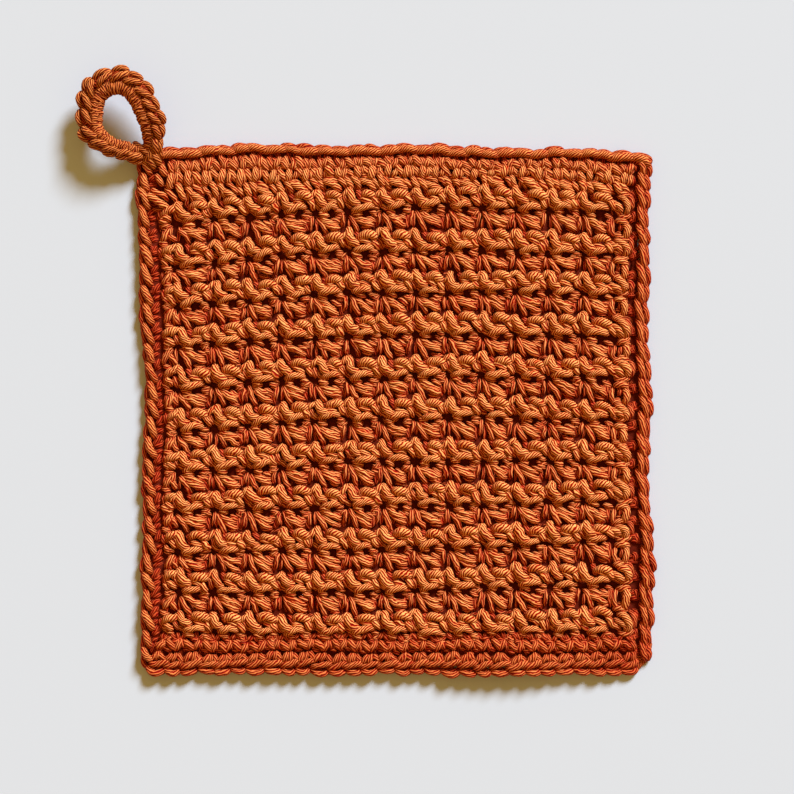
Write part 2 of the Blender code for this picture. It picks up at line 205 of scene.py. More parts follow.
PLAIN_UPPER_ROWS = charted(
    ("knot", 1.4, 1.0, 1.0, (0.5, 0.7, 3.0), (0.3, 0.59, 5.0), (-0.1, 0.44, 5.0), (-0.3, 0.32, 3.2)),
    ("knot slant", 1.3, 0.6, 1.0, (-3.9, 0.7, 2.8), (-3.2, 0.6, 4.5), (-2.2, 0.47, 4.5), (-1.4, 0.34, 2.8)),
    ("knot turn", 1.2, 0.7, 1.0, (1.2, 0.38, 2.8), (2.0, 0.44, 4.3), (2.7, 0.58, 4.3), (2.9, 0.7, 2.8)),
    ("knot seat", 1.0, 0.8, 1.0, (-2.6, 0.44, 2.6), (-1.2, 0.39, 3.8), (0.8, 0.36, 2.6)),
    ("left leg", 1.35, 0.6, 0.8, (-3.9, 0.98, 2.6), (-3.1, 0.91, 4.3), (-2.0, 0.8, 4.8), (-1.1, 0.67, 3.4)),
    ("middle leg", 1.15, 0.6, 0.8, (-0.7, 1.01, 2.6), (-0.5, 0.92, 4.2), (-0.1, 0.8, 4.4), (0.0, 0.7, 3.2)),
    ("right leg", 1.3, 0.8, 0.8, (2.9, 0.98, 2.6), (2.4, 0.9, 4.3), (1.6, 0.79, 4.7), (1.0, 0.68, 3.2)),
    ("leg seat", 1.1, 0.8, 1.0, (-4.4, 0.84, 2.6), (-3.4, 0.76, 3.9), (-2.2, 0.72, 2.6)),
    ("cross fill", 1.15, 1.0, 1.0, (1.4, 0.76, 2.6), (2.6, 0.74, 4.0), (3.8, 0.84, 2.6)),
    ("top fill", 1.0, 0.8, 0.5, (0.4, 1.02, 2.4), (1.0, 0.95, 3.7), (1.4, 0.86, 2.6)),
    ("row bed", 1.1, 0.8, 1.0, (-2.2, 0.74, 2.2), (0.0, 0.72, 3.2), (2.2, 0.74, 2.2)),
)

# The border. Along in stitches, outwards in mm from the panel's edge, height in mm.
TOP_STITCH = charted(
    ("front loop", 1.55, 1.1, 1.0, (-0.82, 2.8, 3.0), (-0.45, 3.1, 4.3), (0.0, 3.1, 4.3), (0.45, 2.9, 3.6),
     (0.8, 2.6, 2.4)),
    ("back loop", 1.1, 0.7, 1.0, (-0.6, 3.7, 1.6), (-0.25, 4.4, 2.7), (0.12, 4.6, 2.9), (0.45, 4.2, 2.4),
     (0.65, 3.4, 1.6)),
    ("post", 1.0, 0.5, 0.3, (-0.22, -1.0, 2.8), (-0.2, 0.6, 2.6), (-0.18, 2.6, 1.9)),
    ("post back", 1.0, 0.5, 0.3, (0.2, -1.0, 2.8), (0.22, 0.6, 2.5), (0.2, 2.6, 1.8)),
)
RIGHT_STITCH = charted(
    ("inner loop", 1.3, 0.6, 0.7, (0.72, 2.4, 2.4), (0.4, 2.9, 4.2), (0.0, 3.5, 4.9), (-0.4, 4.1, 4.3),
     (-0.68, 4.5, 2.6)),
    ("outer loop", 1.2, 0.6, 0.65, (0.58, 4.2, 1.8), (0.3, 5.0, 2.9), (-0.05, 5.7, 3.2), (-0.38, 5.9, 2.7),
     (-0.62, 5.4, 1.6)),
    ("groove knot", 1.25, 0.7, 0.25, (0.24, -0.3, 1.8), (0.14, 0.5, 2.6), (-0.06, 0.6, 2.6),
     (-0.2, 0.0, 1.8)),
    ("post", 1.05, 0.6, 0.2, (0.02, -2.0, 1.8), (0.05, -0.9, 2.5), (0.06, 0.2, 2.5), (0.08, 1.6, 2.0)),
    ("post leg", 1.0, 0.6, 0.2, (-0.16, -1.8, 1.8), (-0.12, -0.4, 2.8), (-0.14, 2.2, 1.8)),
)
LEFT_STITCH = charted(
    ("inner loop", 1.45, 0.8, 1.0, (-0.6, 4.8, 2.2), (-0.36, 4.3, 4.0), (0.0, 3.4, 4.6), (0.36, 2.5, 4.0),
     (0.6, 2.0, 2.2)),
    ("outer loop", 1.05, 0.6, 0.6, (-0.6, 4.6, 1.8), (-0.25, 5.2, 2.7), (0.15, 5.4, 2.9), (0.5, 5.0, 2.4),
     (0.72, 4.0, 1.6)),
    ("cross strand", 0.95, 0.6, 0.3, (0.42, 2.8, 1.6), (0.62, 1.8, 2.0), (0.8, 0.8, 1.6)),
    ("post", 1.15, 0.5, 0.3, (-0.06, 2.2, 1.6), (-0.04, 0.6, 2.1), (0.0, -1.2, 1.9)),
    ("post leg", 1.1, 0.5, 0.25, (0.32, 2.0, 1.5), (0.3, 0.4, 1.9), (0.32, -1.2, 1.7)),
    ("groove knot", 1.15, 0.7, 0.2, (-0.4, -0.8, 1.6), (-0.32, 0.3, 2.3), (-0.16, 1.5, 2.4),
     (-0.06, 2.4, 1.7)),
)
BOTTOM_STITCH = charted(
    ("front loop", 1.3, 0.8, 0.7, (-0.62, 5.0, 2.6), (-0.3, 4.5, 4.0), (0.08, 3.7, 4.3), (0.42, 3.0, 4.0),
     (0.68, 2.6, 2.8)),
    ("lower loop", 1.3, 0.4, 0.85, (-0.5, 5.9, 2.0), (-0.27, 6.9, 3.4), (0.04, 7.4, 3.7), (0.32, 7.2, 3.1),
     (0.52, 6.2, 1.8)),
    ("under loop", 1.3, 0.5, 0.1, (-0.56, 5.8, 1.5), (0.0, 6.5, 1.7), (0.56, 5.8, 1.5)),
    ("tip slash", 1.15, 0.7, 0.65, (-0.44, 3.1, 2.8), (-0.36, 2.0, 4.2), (-0.22, 0.8, 4.1),
     (-0.14, 0.0, 2.6)),
    ("tip", 1.15, 0.7, 0.65, (-0.06, 3.1, 2.8), (-0.03, 1.7, 4.3), (0.03, 0.6, 4.1), (0.06, -0.1, 2.6)),
    ("tip slant", 1.1, 0.7, 0.65, (0.16, 0.1, 2.6), (0.22, 0.8, 4.1), (0.34, 1.8, 4.1), (0.44, 2.8, 2.8)),
    ("tip bed", 1.1, 0.8, 0.3, (-0.5, 1.6, 2.2), (0.0, 1.4, 3.0), (0.5, 1.6, 2.2)),
    ("row slant", 1.3, 0.6, 0.65, (-0.62, -5.0, 2.8), (-0.5, -4.2, 4.5), (-0.24, -2.9, 4.6),
     (-0.08, -1.6, 2.8)),
    ("row slash", 1.2, 0.6, 0.65, (-0.06, -1.6, 2.8), (0.02, -2.6, 4.4), (0.14, -3.9, 4.4),
     (0.18, -5.0, 2.8)),
    ("row core", 1.1, 0.6, 0.5, (0.26, -4.8, 2.6), (0.3, -3.4, 4.0), (0.38, -1.8, 2.6)),
    ("row foot", 1.1, 0.8, 0.5, (-0.66, -2.0, 2.6), (-0.5, -2.0, 3.7), (-0.3, -1.2, 2.6)),
    ("row top", 1.1, 0.8, 0.4, (-0.24, -4.8, 2.6), (-0.06, -5.0, 3.9), (0.12, -4.6, 2.8)),
    ("row bed", 1.0, 0.8, 0.3, (-0.5, -3.4, 2.2), (0.0, -3.2, 3.0), (0.5, -3.4, 2.2)),
    ("sunk left", 1.05, 0.6, 0.35, (-0.52, -8.2, 2.4), (-0.38, -7.0, 3.8), (-0.2, -5.6, 2.8)),
    ("sunk middle", 1.0, 0.6, 0.35, (-0.14, -8.0, 2.4), (-0.06, -6.6, 3.6), (0.0, -5.2, 2.6)),
    ("sunk right", 1.0, 0.6, 0.35, (0.14, -5.6, 2.6), (0.28, -6.8, 3.7), (0.42, -8.0, 2.4)),
    ("sunk bed", 1.0, 0.6, 0.3, (-0.4, -5.4, 2.2), (0.0, -5.6, 3.0), (0.4, -5.4, 2.2)),
)
SIDE_STITCHES = {
    Side.RIGHT: RIGHT_STITCH, Side.TOP: TOP_STITCH, Side.LEFT: LEFT_STITCH, Side.BOTTOM: BOTTOM_STITCH,
}

# The back of one star, in mm from its eye.
BACK_STAR = charted(
    ("back bar", 1.15, 1.0, 1.0, (-6.7, 6.6, 1.5), (-3.3, 7.6, 1.2), (0.0, 6.7, 1.3), (3.3, 7.6, 1.2),
     (6.7, 6.6, 1.5)),
    ("back post 1", 1.05, 1.0, 1.0, (-5.6, 5.9, 1.7), (-5.0, 2.0, 1.1), (-4.2, -3.0, 1.1),
     (-3.8, -7.9, 1.7)),
    ("back post 2", 1.05, 1.0, 1.0, (-2.2, 5.9, 1.7), (-2.4, 2.0, 1.1), (-2.6, -3.0, 1.1),
     (-2.6, -7.9, 1.7)),
    ("back post 3", 1.05, 1.0, 1.0, (0.9, 5.9, 1.7), (1.4, 2.0, 1.1), (2.0, -3.0, 1.1), (2.6, -7.9, 1.7)),
    ("back post 4", 1.05, 1.0, 1.0, (4.6, 5.9, 1.7), (4.2, 2.0, 1.1), (4.0, -3.0, 1.1), (3.9, -7.9, 1.7)),
)
# The back of one stitch of the border, in the same measures as its front.
BACK_STITCH = charted(
    ("back loop", 1.1, 1.0, 1.0, (-0.55, 4.6, 1.4), (0.0, 3.9, 1.15), (0.55, 4.6, 1.4)),
    ("back post", 1.1, 1.0, 1.0, (-0.2, -1.2, 1.6), (-0.1, 1.0, 1.15), (0.05, 3.6, 1.5)),
    ("back leg", 1.0, 1.0, 1.0, (0.25, -1.2, 1.6), (0.3, 1.0, 1.1), (0.4, 3.6, 1.5)),
)

# One stitch of the hanging loop. Along in stitches, outwards as a share of the band's width, up as a share of
# its thickness.
LOOP_CHAIN = charted(
    ("front loop", 1.25, 0.9, 1.0, (-0.56, -0.02, 0.0), (-0.32, 0.06, 0.42), (0.04, 0.16, 0.54),
     (0.38, 0.26, 0.36), (0.58, 0.31, -0.04)),
    ("back loop", 1.2, 0.9, 1.0, (-0.54, 0.26, -0.34), (-0.27, 0.38, 0.04), (0.06, 0.45, 0.14),
     (0.34, 0.44, 0.02), (0.54, 0.34, -0.34)),
    ("chain seat", 1.7, 0.9, 0.1, (-0.56, 0.27, -0.12), (0.0, 0.28, -0.08), (0.56, 0.27, -0.12)),
)
LOOP_WRAPS = charted(
    ("wrap", 1.2, 0.8, 0.8, (0.1, 0.4, -0.2), (0.06, 0.08, -0.38), (0.02, -0.26, -0.28), (0.0, -0.38, 0.0),
     (-0.02, -0.28, 0.26), (-0.05, -0.12, 0.32), (-0.09, 0.02, 0.2)),
    ("wrap foot", 1.15, 0.8, 0.1, (-0.05, -0.08, 0.18), (-0.1, 0.1, 0.12), (-0.14, 0.3, -0.08)),
    ("wrap slant", 1.05, 0.8, 0.8, (-0.14, -0.36, -0.06), (-0.08, -0.31, 0.2), (0.04, -0.16, 0.36),
     (0.14, 0.0, 0.22)),
)
# Where the loop is sewn down, in mm from the cloth's middle.
LOOP_ROOT = charted(
    ("root cross", 1.45, 0.8, 1.0, (-102.6, 105.0, 4.5), (-100.2, 103.2, 6.8), (-97.2, 101.0, 7.4),
     (-94.6, 98.9, 6.6), (-92.6, 97.2, 4.2)),
    ("root twin", 1.35, 0.8, 1.0, (-98.6, 103.9, 5.0), (-96.4, 102.0, 7.2), (-94.2, 99.4, 7.0),
     (-92.2, 96.2, 4.2)),
    ("root wrap", 1.3, 0.8, 1.0, (-96.6, 107.8, 6.0), (-95.6, 105.2, 8.4), (-95.2, 102.6, 7.9),
     (-95.4, 100.0, 5.2)),
    ("root tie", 1.3, 0.8, 1.0, (-99.6, 100.8, 3.6), (-97.8, 99.2, 5.8), (-95.6, 97.2, 6.0),
     (-94.6, 95.0, 4.0)),
    ("root knot", 1.2, 0.8, 1.0, (-93.4, 103.6, 4.2), (-92.4, 101.6, 6.2), (-92.6, 99.4, 4.6)),
)


def unit(vectors: Array) -> Array:
    """The vectors along the last axis, each divided by its own length."""
    return vectors / np.linalg.norm(vectors, axis=-1, keepdims=True)


def catmull_rom(before: Array, start: Array, end: Array, after: Array, t: Array) -> Array:
    """The cubic between two points whose slope at each is half the way between its neighbours.

    Args:
        before: The point ahead of the start.
        start: Where the piece starts.
        end: Where it ends.
        after: The point past the end.
        t: How far along the piece to read it, from 0 to 1.

    Returns:
        The places on the cubic.
    """
    return 0.5 * (
        2 * start
        + (end - before) * t
        + (2 * before - 5 * start + 4 * end - after) * t**2
        + (3 * start - before - 3 * end + after) * t**3
    )


def raised(plan: Array, z: Array | float) -> Array:
    """The places of a plan with their heights as the third value."""
    return np.concatenate([plan, np.broadcast_to(z, plan.shape[:-1])[..., None]], axis=-1)


def grid_faces(side: int) -> Array:
    """The quads of a square grid of points that is counted row by row."""
    first = (np.arange(side - 1)[:, None] * side + np.arange(side - 1)).ravel()
    return np.stack([first + a + b * side for a, b in QUAD_CORNERS], axis=1)


def stand(name: str, data: bpy.types.ID) -> Object:
    """Makes an object at the origin and links it to the scene."""
    made = bpy.data.objects.new(name, data)
    bpy.context.scene.collection.objects.link(made)
    return made


@dataclass(frozen=True)
class Cloth:
    """The cloth: its uneven outline, the lattice of its stars, the place where its lower edge lifts and the
    corner that is pressed flat. The waves of the outline and the rows' guides are in mm."""

    half_width: float = 99.0 * MM
    half_length: float = 103.0 * MM
    corner_radii: tuple[float, ...] = (8.0 * MM, 4.5 * MM, 5.0 * MM, 5.0 * MM)
    wave_reach: float = 0.80
    right_wave: tuple[float, ...] = (0.3, 2.4, 0.5, 0.9, 0.1, 0.4, 1.3)
    left_wave: tuple[float, ...] = (2.2, 1.1, 0.7, 0.0, 1.1, 2.8, 2.6)
    top_wave: tuple[float, ...] = (-1.8, 0.4, 0.0, 0.5, -0.6, -1.0, -3.2)
    bottom_wave: tuple[float, ...] = (-0.4, 0.0, 0.0, 0.2, 0.2, 0.3, -0.4)
    panel_left: float = -92.4 * MM
    panel_right: float = 91.6 * MM
    panel_bottom: float = -94.4 * MM
    panel_top: float = 98.7 * MM
    first_column: float = -84.2 * MM
    column_pitch: float = 13.07 * MM
    columns: int = 13
    first_column_lead: float = 1.0 * MM
    guide_places: tuple[float, ...] = (-84.2 * MM, -5.5 * MM, 72.5 * MM)
    star_rows: tuple[Point, ...] = (
        (73.3, 79.2, 78.0), (57.3, 62.8, 61.2), (41.3, 46.4, 46.4), (25.3, 30.0, 29.2), (9.0, 13.6, 13.3),
        (-7.4, -2.7, -3.1), (-23.4, -19.5, -19.1), (-38.6, -36.7, -35.1), (-54.6, -53.4, -50.7),
        (-70.2, -69.8, -67.1), (-86.2, -86.6, -85.8),
    )
    row_pitch: float = 16.5 * MM
    lift_place: float = 42.0 * MM
    lift_half_length: float = 38.0 * MM
    lift_reach: float = 28.0 * MM
    lift_height: float = 2.2 * MM
    press: float = 0.5
    press_reach: float = 30.0 * MM

    @staticmethod
    def ease(share: Array) -> Array:
        """0 to 1 with a level start and end: three squares less two cubes."""
        share = np.clip(share, 0.0, 1.0)
        return share * share * (3 - 2 * share)

    @staticmethod
    def smooth_line(values: tuple[float, ...], places: Array) -> Array:
        """A smooth line through evenly spaced values: cubic Hermite pieces whose slopes are central
        differences.

        Args:
            values: The values at even steps from 0 to 1.
            places: Where to read the line, from 0 to 1.

        Returns:
            The line's value at each place.
        """
        heights = np.asarray(values, float)
        slopes = np.gradient(heights)
        steps = np.clip(places, 0.0, 1.0) * (len(heights) - 1)
        first = np.minimum(steps.astype(int), len(heights) - 2)
        t = steps - first
        return (
            (2 * t**3 - 3 * t**2 + 1) * heights[first]
            + (t**3 - 2 * t**2 + t) * slopes[first]
            + (3 * t**2 - 2 * t**3) * heights[first + 1]
            + (t**3 - t**2) * slopes[first + 1]
        )

    def row_line(self, row: Array, x: Array) -> Array:
        """The line through a row's eyes: a parabola through the row's three guides.

        Args:
            row: Row numbers from the top down. -1 is a pitch above the first, and 11 a pitch below the last.
            x: Where to read the lines.

        Returns:
            The height up the cloth at each place.
        """
        pitch = self.row_pitch / MM
        guides = np.array(self.star_rows)
        guides = np.vstack([guides[:1] + pitch, guides, guides[-1:] - pitch]) * MM
        a, b, c = np.polyfit(self.guide_places, guides.T, 2)
        at = np.asarray(row) + 1
        return a[at] * x**2 + b[at] * x + c[at]

    def lift(self, x: Array, y: Array) -> Array:
        """How far the cloth lies off the surface: an eased hump along the lower edge that fades inwards."""
        along = self.ease(1 - np.abs(x - self.lift_place) / self.lift_half_length)
        return self.lift_height * along * self.ease(1 - (y + self.half_length) / self.lift_reach)

    def pressed(self, x: Array, y: Array) -> Array:
        """The share of its height that the cloth keeps: it falls with an ease towards the lower right
        corner."""
        distance = np.hypot(x - self.half_width, y + self.half_length)
        return 1 - self.press * self.ease(1 - distance / self.press_reach)

    def settle(self, points: Array) -> Array:
        """Carries points of the plain rectangle to the uneven cloth: each edge moves out by its wave, which
        fades out inwards, the corner is pressed, and the lift is added to the height.

        Args:
            points: Places of the plain rectangle, x, y and height along the last axis.

        Returns:
            The same places on the cloth.
        """
        x, y, z = np.moveaxis(points, -1, 0)
        up = (y / self.half_length + 1) / 2
        across = (x / self.half_width + 1) / 2
        right, left = (self.smooth_line(wave, up) * MM for wave in (self.right_wave, self.left_wave))
        top, bottom = (self.smooth_line(wave, across) * MM for wave in (self.top_wave, self.bottom_wave))
        reach = 1 - self.wave_reach
        side_reach = self.ease((np.abs(x) / self.half_width - self.wave_reach) / reach)
        end_reach = self.ease((np.abs(y) / self.half_length - self.wave_reach) / reach)
        moved_x = x + side_reach * np.where(x > 0, right, -left)
        moved_y = y + end_reach * np.where(y > 0, top, -bottom)
        return np.stack([moved_x, moved_y, z * self.pressed(x, y) + self.lift(moved_x, moved_y)], axis=-1)


@dataclass
class Skein:
    """Lengths of yarn that become one mesh of round tubes."""

    name: str
    rng: np.random.Generator
    sides: int = 8
    spacing: float = 1.06 * MM
    curve_steps: int = 24
    fewest_rings: int = 5
    fewest_plies: int = 3
    lay: float = 10.8 * MM
    ply_width: float = 0.88 * MM
    slack_width: float = 0.4
    thickness_wander: float = 0.06
    ring_wander: float = 0.035
    taper: float = 0.16
    end_size: float = 0.62
    end_reach: float = 0.35
    longest_shift: float = 40.0
    rest: float = 0.05 * MM
    parts: defaultdict[str, list[Array]] = field(default_factory=lambda: defaultdict(list))
    count: int = 0

    @classmethod
    def coarse(cls, name: str, rng: np.random.Generator) -> "Skein":
        """A skein of six-sided tubes, for the back."""
        return cls(name, rng, sides=6, spacing=1.0 * MM)

    @staticmethod
    def curve(lines: Array, places: Array) -> Array:
        """Smooth lines through points. Each is carried straight on by one point past both of its ends.

        Args:
            lines: Points of many lines, shaped lines by points by 3.
            places: Where to read every line, in points from its first.

        Returns:
            The places on the lines, shaped lines by places by 3.
        """
        ahead, past = 2 * lines[:, :1] - lines[:, 1:2], 2 * lines[:, -1:] - lines[:, -2:-1]
        ends = np.concatenate([ahead, lines, past], axis=1)
        first = np.minimum(places.astype(int), lines.shape[1] - 2)
        t = (places - first)[:, None]
        return catmull_rom(*(ends[:, first + k] for k in range(4)), t)

    def wind(self, lines: Array, strand: Strand, depth: Callable[[Array], Array]) -> None:
        """Adds a tube along each line. A ring of points stands round the line at even steps: centre plus
        radius times (normal cos a + side sin a), with the normal taken from the plane that fits the whole
        line best. Points that would sink below the resting face are pressed flat on it.

        Args:
            lines: Points of many lines, shaped lines by points by 3, in metres.
            strand: The strand whose radius, twist and share they take.
            depth: Gives each point's painted-shade share by the cloth's depth, from 0 inside it to 1 outside.
        """
        radius = strand.radius * MM
        dense = np.linspace(0, lines.shape[1] - 1, self.curve_steps * (lines.shape[1] - 1) + 1)
        middle = self.curve(lines[:1], dense)[0]
        run = np.concatenate([[0.0], np.cumsum(np.linalg.norm(np.diff(middle, axis=0), axis=1))])
        rings = max(self.fewest_rings, round(run[-1] / self.spacing) + 1)
        centre = self.curve(lines, np.interp(np.linspace(0, run[-1], rings), run, dense))
        tangent = unit(np.gradient(centre, axis=1))
        spread = centre - centre.mean(axis=1, keepdims=True)
        _, axes = np.linalg.eigh(np.einsum("kni,knj->kij", spread, spread))
        normal = np.broadcast_to(axes[:, None, :, 0], centre.shape)
        normal = unit(normal - (normal * tangent).sum(axis=2, keepdims=True) * tangent)
        side = np.cross(tangent, normal)
        size = radius * (1 + self.thickness_wander * self.rng.normal(size=(len(lines), 1)))
        size = size * (1 + self.ring_wander * self.rng.normal(size=(len(lines), rings)))
        size *= 1 - self.taper * np.linspace(-1, 1, rings) ** 2
        size[:, [0, -1]] *= self.end_size
        angle = np.arange(self.sides) * 2 * math.pi / self.sides
        ring = (
            centre[:, :, None]
            + normal[:, :, None] * (size[..., None] * np.cos(angle))[..., None]
            + side[:, :, None] * (size[..., None] * np.sin(angle))[..., None]
        )
        poles = [centre[:, k, None] + way * tangent[:, k, None] * radius * self.end_reach
                 for k, way in ((0, -1), (-1, 1))]
        points = np.concatenate([ring.reshape(len(lines), -1, 3), *poles], axis=1)
        points[..., 2] = np.maximum(points[..., 2], self.rest)
        self.parts["points"].append(points.reshape(-1, 3))
        # Painted shade: each point's share of the lit colours is the strand's own share times its depth
        # share.
        self.parts["depths"].append((strand.share * depth(points)).ravel())
        self._join(len(lines), rings, run[-1], strand)
        log.debug("%s: %d times %s", self.name, len(lines), strand.name)

    def _join(self, lines: int, rings: int, length: float, strand: Strand) -> None:
        """Adds the faces and the yarn's own coordinates, both counted in plies: u round the tube, v along
        it. There are as many plies as fit round the tube at their own width, seen square to their slant;
        slack plies lie wider."""
        girth = 2 * math.pi * (strand.radius * MM)
        width = self.ply_width * (1 + self.slack_width * (1 - min(strand.twist, 1.0)))
        slant = math.atan(girth * strand.twist / self.lay)
        plies = max(self.fewest_plies, round(girth * math.cos(slant) / width))
        span = length / (rings - 1) / self.lay * strand.twist * plies
        step, turn = np.meshgrid(np.arange(rings - 1), np.arange(self.sides), indexing="ij")
        quad = [(step + b) * self.sides + (turn + a) % self.sides for a, b in QUAD_CORNERS]
        quad = np.stack(quad, axis=-1).reshape(-1, 4)
        uv = [((turn + a) * plies / self.sides, (step + b) * span) for a, b in QUAD_CORNERS]
        quad_uv = np.moveaxis(np.array(uv), (0, 1), (2, 3)).reshape(-1, 4, 2)
        around = np.arange(self.sides)
        following = (around + 1) % self.sides
        last = (rings - 1) * self.sides
        pole = rings * self.sides
        fan = np.concatenate([
            np.stack([np.full(self.sides, pole), following, around], axis=1),
            np.stack([np.full(self.sides, pole + 1), last + around, last + following], axis=1),
        ])
        fan_uv = np.zeros((2 * self.sides, 3, 2))
        fan_uv[:, :, 0] = np.tile(around * plies / self.sides, 2)[:, None]
        fan_uv[self.sides :, :, 1] = (rings - 1) * span
        start = self.count + np.arange(lines)[:, None, None] * (pole + 2)
        shift = np.zeros((lines, 1, 1, 2))
        shift[..., 1] = self.rng.uniform(0, self.longest_shift, (lines, 1, 1))
        self.parts["quads"].append((quad + start).reshape(-1, 4))
        self.parts["fans"].append((fan + start).reshape(-1, 3))
        self.parts["quad_uvs"].append((quad_uv + shift).reshape(-1, 2))
        self.parts["fan_uvs"].append((fan_uv + shift).reshape(-1, 2))
        self.count += lines * (pole + 2)

    def piece(self, material: Material) -> Object:
        """Makes the mesh object of everything wound so far.

        Args:
            material: The yarn's material, with its painted highlight and shade.

        Returns:
            The new object, at the origin, smooth shaded, with the yarn's UV map and painted-shade depth.
        """
        whole = {key: np.concatenate(arrays) for key, arrays in self.parts.items()}
        points, quads, fans = whole["points"], whole["quads"], whole["fans"]
        mesh = bpy.data.meshes.new(self.name)
        mesh.vertices.add(len(points))
        mesh.vertices.foreach_set("co", points.astype(np.float32).ravel())
        corners = np.concatenate([quads.ravel(), fans.ravel()])
        starts = np.concatenate([np.arange(len(quads)) * 4, len(quads) * 4 + np.arange(len(fans)) * 3])
        mesh.loops.add(len(corners))
        mesh.loops.foreach_set("vertex_index", corners.astype(np.int32))
        mesh.polygons.add(len(starts))
        mesh.polygons.foreach_set("loop_start", starts.astype(np.int32))
        mesh.update(calc_edges=True)
        uv = np.concatenate([whole["quad_uvs"], whole["fan_uvs"]])
        mesh.uv_layers.new(name=UV_NAME).uv.foreach_set("vector", uv.astype(np.float32).ravel())
        depth = mesh.attributes.new(PAINTED_SHADE_ATTRIBUTE, "FLOAT", "POINT")
        depth.data.foreach_set("value", whole["depths"].astype(np.float32))
        mesh.shade_smooth()
        mesh.materials.append(material)
        log.info("%s: %d triangles", self.name, 2 * len(quads) + len(fans))
        return stand(self.name, mesh)


@dataclass(frozen=True)
class Wiring:
    """Adds nodes to a node tree, each input fed by a socket or set to a value."""

    tree: bpy.types.NodeTree

    @classmethod
    def of_material(cls, material: Material) -> "Wiring":
        """Turns a new material's nodes on and takes their tree."""
        material.use_nodes = True
        return cls(material.node_tree)

    def feed(self, node: bpy.types.Node, inputs: Inputs) -> None:
        """Links a socket to each named or numbered input, or sets the input's value."""
        for key, value in inputs.items():
            if isinstance(value, Socket):
                self.tree.links.new(value, node.inputs[key])
            else:
                node.inputs[key].default_value = value

    def node(self, kind: str, inputs: Inputs | None = None, **properties: object) -> Sockets:
        """Adds a node.

        Args:
            kind: The node's type.
            inputs: What goes into its inputs, by name or number.
            properties: The node's own properties, set before its inputs.

        Returns:
            The node's outputs.
        """
        node = self.tree.nodes.new(kind)
        for key, value in properties.items():
            setattr(node, key, value)
        self.feed(node, inputs or {})
        return node.outputs

    def math(self, operation: str, *inputs: object) -> Socket:
        """Adds a Math node on sockets or numbers and returns its output."""
        return self.node("ShaderNodeMath", dict(enumerate(inputs)), operation=operation)[0]

    def mix(self, share: object, first: object, second: object, blend: str = "MIX") -> Socket:
        """Mixes two colours, the node's inputs 6 and 7, by a share, or multiplies them; returns the
        colour."""
        inputs = {0: share, 6: first, 7: second}
        return self.node("ShaderNodeMix", inputs, data_type="RGBA", clamp_factor=True, blend_type=blend)[2]

    def noise(self, vector: Socket, scale: float, detail: float) -> Socket:
        """Adds a noise read at a vector and returns its value."""
        return self.node("ShaderNodeTexNoise", {"Vector": vector, "Scale": scale, "Detail": detail})["Fac"]

    def shade(self, inputs: Inputs) -> None:
        """Feeds the material's Principled shader."""
        self.feed(self.tree.nodes["Principled BSDF"], inputs)


